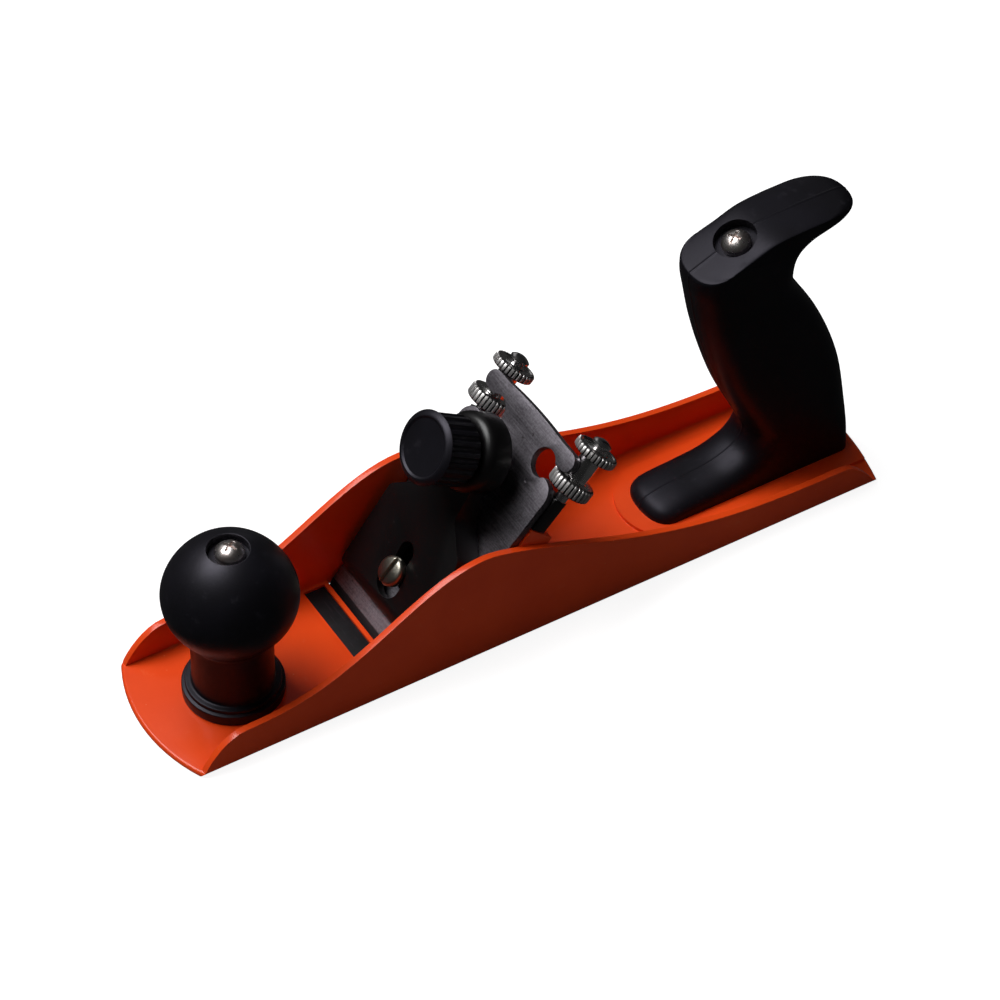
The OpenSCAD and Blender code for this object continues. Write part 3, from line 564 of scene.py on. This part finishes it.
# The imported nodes, and by how many mm their edges are rounded; finer pieces stand for those with 0, apart from
# the body, which is rounded by its own weights
kept = {
    "body": ("orange_paint", 0),
    "mouth_plate": ("dark_plate", 0.08),
    "frog": ("black_paint", 0.18),
    "frog_screws": ("plain_steel", 0.1),
    "blade": ("plain_steel", 0.14),
    "lever_cap": ("black_paint", 0.4),
    "lever_cap_screw": ("bright_chrome", 0.14),
    "clamp_knob": ("black_moulding", 0.12),
    "clamp_stud": ("plain_steel", 0),
    "adjuster_wheel_near": ("bright_chrome", 0),
    "adjuster_wheel_far": ("bright_chrome", 0),
    "adjuster_stud_near": ("bright_chrome", 0),
    "adjuster_stud_far": ("bright_chrome", 0),
    "knob_screw": ("bright_chrome", 0),
    "tote_screw": ("bright_chrome", 0),
    "front_knob": ("black_moulding", 0),
    "tote": ("black_moulding", 0),
}
for name, (slot, width) in kept.items():
    painted(nodes[name], finishes[slot])
    if width:
        softened(nodes[name], width)
rimmed(nodes["body"])
painted(nodes["lever_cap_screw"], agedPlate)
print("kept nodes dressed")


# Handle: each row has x and z of the outline from its back and base, then how far x and z move at the sides
handle = {
    "back": 118.6,
    "base": 2.8,
    "half": 10.4,
    "fullness": 2.4,
    "seam": 0.09,
    "rows": [
        (0, 0, -5, 0), (-0.4, 9, -6, 0), (-1.8, 20, -8, 0), (-5, 36, -8, 0), (-9.3, 48.7, -8, 0),
        (-14.8, 60.5, -8, 0), (-19.8, 68.7, -8, 0), (-23.6, 75, -8, 0), (-25, 79.7, -8, 0),
        (-24.4, 86.2, -8, 0), (-22.2, 90.4, -7.5, 0.6), (-17.6, 93.2, -8, 1), (-11.6, 94.8, -9.5, 1),
        (-6.9, 96.2, -12, 0.6), (-4.8, 98.2, -13, 0), (-7.4, 99.7, -12.5, -0.6), (-13, 99.95, -9.5, -0.8),
        (-24.9, 99.8, -4, -0.9), (-36.2, 98.8, 0, -0.9), (-44.2, 95.9, 1, -0.7), (-50.2, 93.3, 3, 0.6),
        (-55, 91.2, 6, 2), (-57.9, 89.9, 8, 3.1), (-58.5, 89.3, 8.2, 3.1), (-58.7, 88.4, 8.2, 2.7),
        (-58.5, 85, 8, 1.2), (-57.3, 79.2, 8, 0), (-54.9, 68, 8, 0), (-51.1, 54.8, 8, 0),
        (-45.4, 39.2, 8, 0), (-37.6, 23.2, 8, 0), (-35.1, 16.6, 8, -1), (-37.8, 11.2, 6, -4),
        (-44.5, 7.8, 3, -5), (-52.5, 6.4, 1, -4.6), (-61.3, 5.6, 1, -4.2), (-68, 4.2, 5, -3),
        (-70.9, 1.9, 7, -1.1), (-71.2, 0, 7, 0),
    ],
    "fine": 6,
    "baseSteps": 16,
    "slices": 40,
    "seamSlices": (-0.034, -0.02, 0.0, 0.02, 0.034),
    "seamHalf": 0.021,
    "edge": 0.4,
    "screwX": 75.4,
    "screwZ": 99.0,
    "lean": 16.6,
    "bore": 6.6,
    "depth": 3.0,
}


# A point of the smooth curve through b and c, at a share t of the way
def between(a, b, c, d, t):
    return [
        0.5 * (2 * q + (r - p) * t + (2 * p - 5 * q + 4 * r - s) * t * t + (3 * q - p - 3 * r + s) * t**3)
        for p, q, r, s in zip(a, b, c, d)
    ]


def handleMesh():
    rows, fine, steps, slices = (handle[k] for k in ("rows", "fine", "baseSteps", "slices"))
    last = len(rows) - 1
    outline = []
    for i in range(last):
        near = [rows[min(max(k, 0), last)] for k in range(i - 1, i + 3)]
        outline += [between(*near, j / fine) for j in range(fine)]
    outline.append(list(rows[last]))
    front, back = outline[-1], outline[0]
    outline += [[f + (b - f) * k / steps for f, b in zip(front, back)] for k in range(1, steps)]
    count = len(outline)
    across = [-math.cos(math.pi * k / slices) for k in range(slices + 1) if 2 * k != slices]
    across = sorted(across + list(handle["seamSlices"]))
    rings = []
    for y in across:
        pull = 1 - (1 - abs(y) ** handle["fullness"]) ** (1 / handle["fullness"]) if abs(y) < 1 else 1.0
        lift = handle["seam"] if abs(y) <= handle["seamHalf"] else 0.0
        ring = []
        for i, (x, z, dx, dz) in enumerate(outline):
            a, b = outline[(i - 1) % count], outline[(i + 1) % count]
            tangent = Vector((b[0] - a[0], b[1] - a[1]))
            tangent.normalize()
            out = lift if i < last * fine else 0.0
            x += pull * dx + out * tangent[1]
            z += pull * dz - out * tangent[0]
            ring.append(Vector((handle["back"] + x, y * handle["half"], handle["base"] + z)) * mm)
        rings.append(ring)
    return skinned("handle", rings)


# A straight tool from the counterbore's floor to well above the horn
def boreMesh(place):
    radius, floor, above = handle["bore"], -handle["depth"], 20
    return turned("bore", [(0, floor), (radius, floor), (radius, above), (0, above)], place, 96)


top = Vector((handle["screwX"], 0, handle["screwZ"]))
rod = Matrix.Translation(top) @ Matrix.Rotation(math.radians(-handle["lean"]), 4, "Y")
grip = asPiece("handle", handleMesh(), "plane_body", "black_moulding", "tote")
cut(grip, loose(boreMesh(rod)))
shaded(grip, 40)
softened(grip, handle["edge"], 38, packed=False)
painted(grip, gripMoulding)
print("handle made")


# Front knob: a base with a groove round it, a neck and a flattened ball with a counterbore
knob = {
    "x": -91.4, "floor": 1.6, "high": 57.2, "baseR": 15.0, "baseH": 5.0, "neckR": 12.0,
    "ballR": 19.8, "ballH": 17.4, "crownH": 18.0, "crownPower": 1 / 0.9, "crownSteps": 44,
    "boreR": 6.1, "boreDepth": 2.8, "edge": 0.5, "bead": 0.35, "fillet": 0.7, "collar": 2.4, "lip": 0.2,
}


def knobProfile():
    k = knob
    edge, bead, fillet, collar, lip = (k[n] for n in ("edge", "bead", "fillet", "collar", "lip"))
    power, steps = k["crownPower"], k["crownSteps"]
    high, ledge = k["floor"] + k["high"], k["floor"] + k["baseH"]
    ballZ = high - k["crownH"]
    join = math.degrees(math.acos(k["neckR"] / k["ballR"]))
    neckZ = ballZ - k["ballH"] * math.sin(math.radians(join))
    rim = math.acos(((k["boreR"] + 0.3) / k["ballR"]) ** (1 / power))
    tall = k["crownH"] / math.sin(rim) ** power
    turns = [rim * i / steps for i in range(1, steps + 1)]
    return (
        [(0, k["floor"]), (k["baseR"] - edge - 0.1, k["floor"])]
        + arc(k["baseR"] - edge, k["floor"] + edge, edge, -90, 0, 4)
        + arc(k["baseR"] - bead, ledge - 1.75, bead, 0, 80, 4)  # groove
        + arc(k["baseR"] - 0.75, ledge - 1.1, 0.3, -150, -180, 2)
        + arc(k["baseR"] - 1 - bead, ledge - bead, bead, 0, 90, 4)
        + arc(k["neckR"] + fillet, ledge + fillet, fillet, 270, 180, 5)  # neck
        + arc(k["neckR"] + collar, neckZ - 2.8, collar, 180, 132, 6)
        + arc(0, ballZ, k["ballR"], 4 - join, 0, 26, k["ballH"] / k["ballR"])  # ball
        + [(k["ballR"] * math.cos(a) ** power, ballZ + tall * math.sin(a) ** power) for a in turns]
        + arc(k["boreR"] + lip, high - lip, lip, 60, 180, 4)  # counterbore
        + [(k["boreR"], high - k["boreDepth"]), (0, high - k["boreDepth"])]
    )


ballMesh = turned("knobBall", knobProfile(), Matrix.Translation((knob["x"], 0, 0)), 144)
shaded(asPiece("knobBall", ballMesh, "plane_body", "black_moulding", "front_knob"), 50)
print("knob made")


# Pan-head screws with a cross recess; the arms and the slot narrow towards the recess's floor by these shares
screw = {
    "r": 4.4, "high": 4.2, "dome": 2.5, "brim": 0.35, "edge": 0.1,
    "shankR": 3.0, "tipR": 2.6, "tip": 0.4, "knobGap": 0.6, "knobShift": 0.5, "handleShank": 92.0,
    "arm": 2.7, "slot": 0.8, "deep": 1.9, "turn": 28, "floor": (0.45, 0.35), "mouth": (1.15, 0.62),
}


# One tool for each bar of the cross
def crossTool(place):
    for quarter in (0, 90):
        spin = place @ Matrix.Rotation(math.radians(screw["turn"] + quarter), 4, "Z")
        work = bmesh.new()
        corners = []
        for z, share in ((screw["high"] - screw["deep"], screw["floor"]), (screw["high"] + 1, screw["mouth"])):
            reach, half = screw["arm"] * share[0], screw["slot"] * share[1]
            for x, y in ((-reach, -half), (reach, -half), (reach, half), (-reach, half)):
                corners.append(work.verts.new((spin @ Vector((x, y, z))) * mm))
        for face in ((3, 2, 1, 0), (4, 5, 6, 7), (0, 1, 5, 4), (1, 2, 6, 5), (2, 3, 7, 6), (3, 0, 4, 7)):
            work.faces.new([corners[i] for i in face])
        yield finished("cross", work)


# Points of a dome from its rim to just beside its middle
def dome(r, rise, top, first):
    ballR = (r**2 + rise**2) / (2 * rise)
    across = [r * math.cos(math.radians(a)) for a in range(first, 90, 6)]
    return [(x, top - ballR + math.sqrt(ballR**2 - x * x)) for x in across]


def panScrew(name, place, shank, node):
    s = screw
    profile = [(0, -shank), (s["tipR"], -shank), (s["shankR"], s["tip"] - shank), (s["shankR"], 0)]
    profile += [(s["r"] - 0.3, 0), (s["r"], s["brim"]), (s["r"], s["high"] - s["dome"] - 0.05)]
    profile += dome(s["r"], s["dome"], s["high"], 8) + [(0, s["high"])]
    made = asPiece(name, turned(name, profile, place, 72), "plane_body", "bright_chrome", node)
    for tool in crossTool(place):
        cut(made, loose(tool))
    shaded(made, 40)
    softened(made, s["edge"], 35, 2, False)
    painted(made, screwPlate)


knobSeat = knob["floor"] + knob["high"] - knob["boreDepth"]
knobScrewPlace = Matrix.Translation((knob["x"] + screw["knobShift"], 0, knobSeat))
panScrew("knobScrewHead", knobScrewPlace, knobSeat - screw["knobGap"], "knob_screw")
handleScrewPlace = rod @ Matrix.Translation((0, 0, -handle["depth"]))
panScrew("handleScrewHead", handleScrewPlace, screw["handleShank"], "tote_screw")
print("screws made")


# Adjuster wheels: a thick knurled disc, a plain waist and a thinner knurled disc with a dished top. S is the
# place along the bed; the edges say how far in from the rim and how far from the face each point lies, and the
# boss how far out from the bore and how far below the top
wheel = {
    "r": 6.8, "neckR": 3.3, "boreR": 2.05, "fillet": 0.4, "lowS": 74.0, "lowT": 4.3, "topS": 86.5, "topT": 2.9,
    "farDrop": 1.6, "ridges": 30, "ridgeSteps": 14, "deep": 0.7, "flank": 5, "crest": 1.1,
    "thickEdge": [(0.85, 0), (0.55, 0.1), (0.1, 0.55), (0, 0.8)],
    "thinEdge": [(0.85, 0), (0.55, 0.1), (0.1, 0.45), (0, 0.65)],
    "topEdge": [(0, 0.65), (0.1, 0.4), (0.5, 0.06), (0.8, 0)],
    "dish": [(1.05, 0.06), (1.3, 0.3), (1.9, 0.55)],
    "boss": [(1.4, 0.6), (1.1, 0.35), (0.9, 0.1), (0, 0.05)],
}
stud = {
    "r": 2.0, "seatR": 1.3, "from": 61.0, "collar": 70.5, "edge": 0.2,
    "headS": 90.7, "headR": 3.1, "headH": 1.9, "dome": 1.2,
}


# How far the rim is cut in between two ridges
def knurl(r, share):
    phase = share * wheel["ridges"] % 1
    low = min(1, max(0, abs(phase - 0.5) * wheel["flank"] - wheel["crest"]))
    return low * max(0, wheel["deep"] - (wheel["r"] - r))


def spoolProfile():
    w = wheel
    r, lowEnd, end, fillet = w["r"], w["lowS"] + w["lowT"], w["topS"] + w["topT"], w["fillet"]
    return (
        [(w["boreR"], w["lowS"])]
        + [(r - inset, w["lowS"] + rise) for inset, rise in w["thickEdge"]]
        + [(r - inset, lowEnd - rise) for inset, rise in reversed(w["thickEdge"])]
        + [(w["neckR"] + fillet + 0.1, lowEnd)]
        + arc(w["neckR"] + fillet, lowEnd + fillet, fillet, 270, 180, 4)
        + arc(w["neckR"] + fillet, w["topS"] - fillet, fillet, 180, 90, 4)
        + [(r - inset, w["topS"] + rise) for inset, rise in w["thinEdge"]]
        + [(r - inset, end - fall) for inset, fall in w["topEdge"] + w["dish"]]
        + [(w["boreR"] + out, end - fall) for out, fall in w["boss"]]
    )


# The far stud's collar stays on its lug, while the rest stands lower with its wheel
def studProfile(drop):
    s = stud
    top = s["headS"] + s["headH"]
    foot = [(0, s["from"]), (s["seatR"], s["from"]), (s["seatR"], s["collar"])]
    foot += [(s["r"] - s["edge"], s["collar"]), (s["r"], s["collar"] + s["edge"])]
    head = [(s["r"], s["headS"]), (s["headR"] - s["edge"], s["headS"]), (s["headR"], s["headS"] + s["edge"])]
    head += [(s["headR"], top - s["dome"])] + dome(s["headR"], s["dome"], top, 12) + [(0, top)]
    return [(r, z + drop) for r, z in foot] + head


for side, name, drop in ((-1, "near", 0), (1, "far", wheel["farDrop"])):
    shift = Matrix.Translation((-drop, side * plane["studY"], plane["studH"]))
    place = bed @ shift @ Matrix.Rotation(math.radians(90), 4, "Y")
    mesh = turned("wheel", spoolProfile(), place, wheel["ridges"] * wheel["ridgeSteps"], True, knurl)
    spool = asPiece("wheel" + name.title(), mesh, "wheel_" + name, "bright_chrome", "adjuster_wheel_" + name)
    shaded(spool, 42)
    painted(spool, wheelPlate)
    mesh = turned("stud", studProfile(drop), place, 72)
    shaded(asPiece("stud" + name.title(), mesh, "plane_body", "bright_chrome", "adjuster_stud_" + name), 40)
print("adjusters made")


# Clamp stud: a thread, whose radius follows the helix, and a rounded tip; z runs out of the boss
thread = {
    "r": 4.0, "pitch": 1.25, "depth": 0.54, "from": 0.9, "to": 27.0, "around": 40, "perTurn": 10,
    "flank": 1.35, "crest": 0.12, "runout": 0.2,
}
tip = {"r": 3.0, "end": 0.36, "middle": 1.7, "squash": 0.45, "top": 2.2}


def threadMesh(name, place):
    start, end, pitch, around = (thread[k] for k in ("from", "to", "pitch", "around"))
    steps = int((end - start) / pitch * thread["perTurn"])
    rings = []
    for i in range(steps + 1):
        z = start + (end - start) * i / steps
        taper = min(1.0, (z - start) / pitch, (end - z) / pitch + thread["runout"])
        ring = []
        for k in range(around):
            phase = (z / pitch - k / around) % 1.0
            tooth = min(1.0, max(0.0, abs(phase * 2 - 1) * thread["flank"] - thread["crest"]))
            r = thread["r"] - thread["depth"] * pitch * (1 - tooth * taper)
            a = 2 * math.pi * k / around
            ring.append((place @ Vector((r * math.cos(a), r * math.sin(a), z))) * mm)
        rings.append(ring)
    return skinned(name, rings)


threaded = asPiece("clampThread", threadMesh("clampThread", clamp), "clamp_screw", "plain_steel", "clamp_stud")
shaded(threaded, 60)
tipArc = arc(0, tip["middle"], tip["r"], -80, 0, 6, tip["squash"])
tipMesh = turned("clampTip", [(0, tip["end"])] + tipArc + [(tip["r"], tip["top"]), (0, tip["top"])], clamp, 48)
shaded(asPiece("clampTip", tipMesh, "clamp_screw", "plain_steel"), 40)
print("threads made")


# Pale floor: white to the camera, where it keeps the shadow, and dimmer to the light that it throws back
def stage():
    look = {"size": 3.0, "below": 0.2, "white": 0.90, "lit": 0.42, "dim": 0.30, "mirror": 0.03}
    f = Finish("paleFloor")
    seen, gloss, glass = (f.ray(kind) for kind in ("Camera", "Glossy", "Transmission"))
    cloth = f.node("ShaderNodeBsdfDiffuse", None, {"Color": (look["lit"],) * 3})
    shine = f.node("ShaderNodeEmission", None, {"Color": (1, 1, 1), "Strength": look["white"]})
    camera = f.node("ShaderNodeAddShader", None, {0: cloth, 1: shine})
    dim = f.node("ShaderNodeBsdfDiffuse", None, {"Color": (look["dim"],) * 3})
    mirror = f.node("ShaderNodeEmission", None, {"Color": (1, 1, 1), "Strength": look["mirror"]})
    other = f.node("ShaderNodeMixShader", None, {0: (gloss + glass).limited(), 1: dim, 2: mirror})
    both = f.node("ShaderNodeMixShader", None, {0: seen, 1: other, 2: camera})
    f.node("ShaderNodeOutputMaterial", None, {"Surface": both})
    half = look["size"] / 2
    mesh = bpy.data.meshes.new("floor")
    corners = [(-half, -half, 0), (half, -half, 0), (half, half, 0), (-half, half, 0)]
    mesh.from_pydata(corners, [], [(0, 1, 2, 3)])
    floor = bpy.data.objects.new("floor", mesh)
    bpy.context.scene.collection.objects.link(floor)
    mesh.materials.append(f.material)
    floor.location.z = -look["below"] * mm


stage()


lamps = {
    "keySoftbox": {"where": (-0.34, 0.36, 1.02), "aim": (0, 0, 0.02), "size": (0.72, 0.72), "power": 12.6},
    "rimStrip": {"where": (0.55, 0.75, 0.35), "aim": (0, 0, 0.05), "size": (0.15, 0.7), "power": 0.1},
}
for name, look in lamps.items():
    light = bpy.data.lights.new(name, "AREA")
    light.shape = "RECTANGLE"
    light.size, light.size_y = look["size"]
    light.energy = look["power"]
    lamp = bpy.data.objects.new(name, light)
    bpy.context.scene.collection.objects.link(lamp)
    lamp.location = look["where"]
    lamp.rotation_euler = (Vector(look["where"]) - Vector(look["aim"])).to_track_quat("Z", "Y").to_euler()


# Studio air: white to the camera, a faint even light, and one soft pale region that the glossy pieces show
def air():
    look = {
        "ambient": 0.055, "mirror": 0.012, "glow": 0.18,
        "from": (-0.13, 0.62, 0.775), "edge": 0.84, "soft": 0.14,
    }
    world = bpy.data.worlds.new("studioAir")
    bpy.context.scene.world = world
    world.use_nodes = True
    f = Nodes(world.node_tree, "Generated")
    seen, gloss = f.ray("Camera"), f.ray("Glossy")
    sheen = look["mirror"] + look["glow"] * f.along(look["from"]).above(look["edge"], look["soft"])
    level = seen + (1.0 - seen) * (gloss * sheen + (1.0 - gloss) * look["ambient"])
    glow = f.node("ShaderNodeBackground", None, {"Color": (1, 1, 1), "Strength": level})
    f.node("ShaderNodeOutputWorld", None, {"Surface": glow})


air()


# The camera looks at its aim from a distance in metres, with its angles in degrees
def cameraSet():
    look = {
        "azimuth": -32.49, "elevation": 45.41, "roll": -1.38, "distance": 1.218, "aim": (-0.00215, 0.0, 0.0323),
        "lens": 150.9, "sensor": 36, "nearest": 0.05,
    }
    a, e, r = (math.radians(look[k]) for k in ("azimuth", "elevation", "roll"))
    back = Vector((math.sin(a) * math.cos(e), -math.cos(a) * math.cos(e), math.sin(e)))
    right = Vector((math.cos(a), math.sin(a), 0))
    up = back.cross(right)
    across = math.cos(r) * right - math.sin(r) * up
    upright = math.sin(r) * right + math.cos(r) * up
    data = bpy.data.cameras.new("view")
    data.lens = look["lens"]
    data.sensor_width = look["sensor"]
    data.clip_start = look["nearest"]
    made = bpy.data.objects.new("view", data)
    bpy.context.scene.collection.objects.link(made)
    turn = Matrix((across, upright, back)).transposed().to_4x4()
    made.matrix_world = Matrix.Translation(Vector(look["aim"]) + back * look["distance"]) @ turn
    bpy.context.scene.camera = made


cameraSet()
bpy.context.scene.view_settings.view_transform = "Standard"
print("stage set")

bpy.context.view_layer.update()
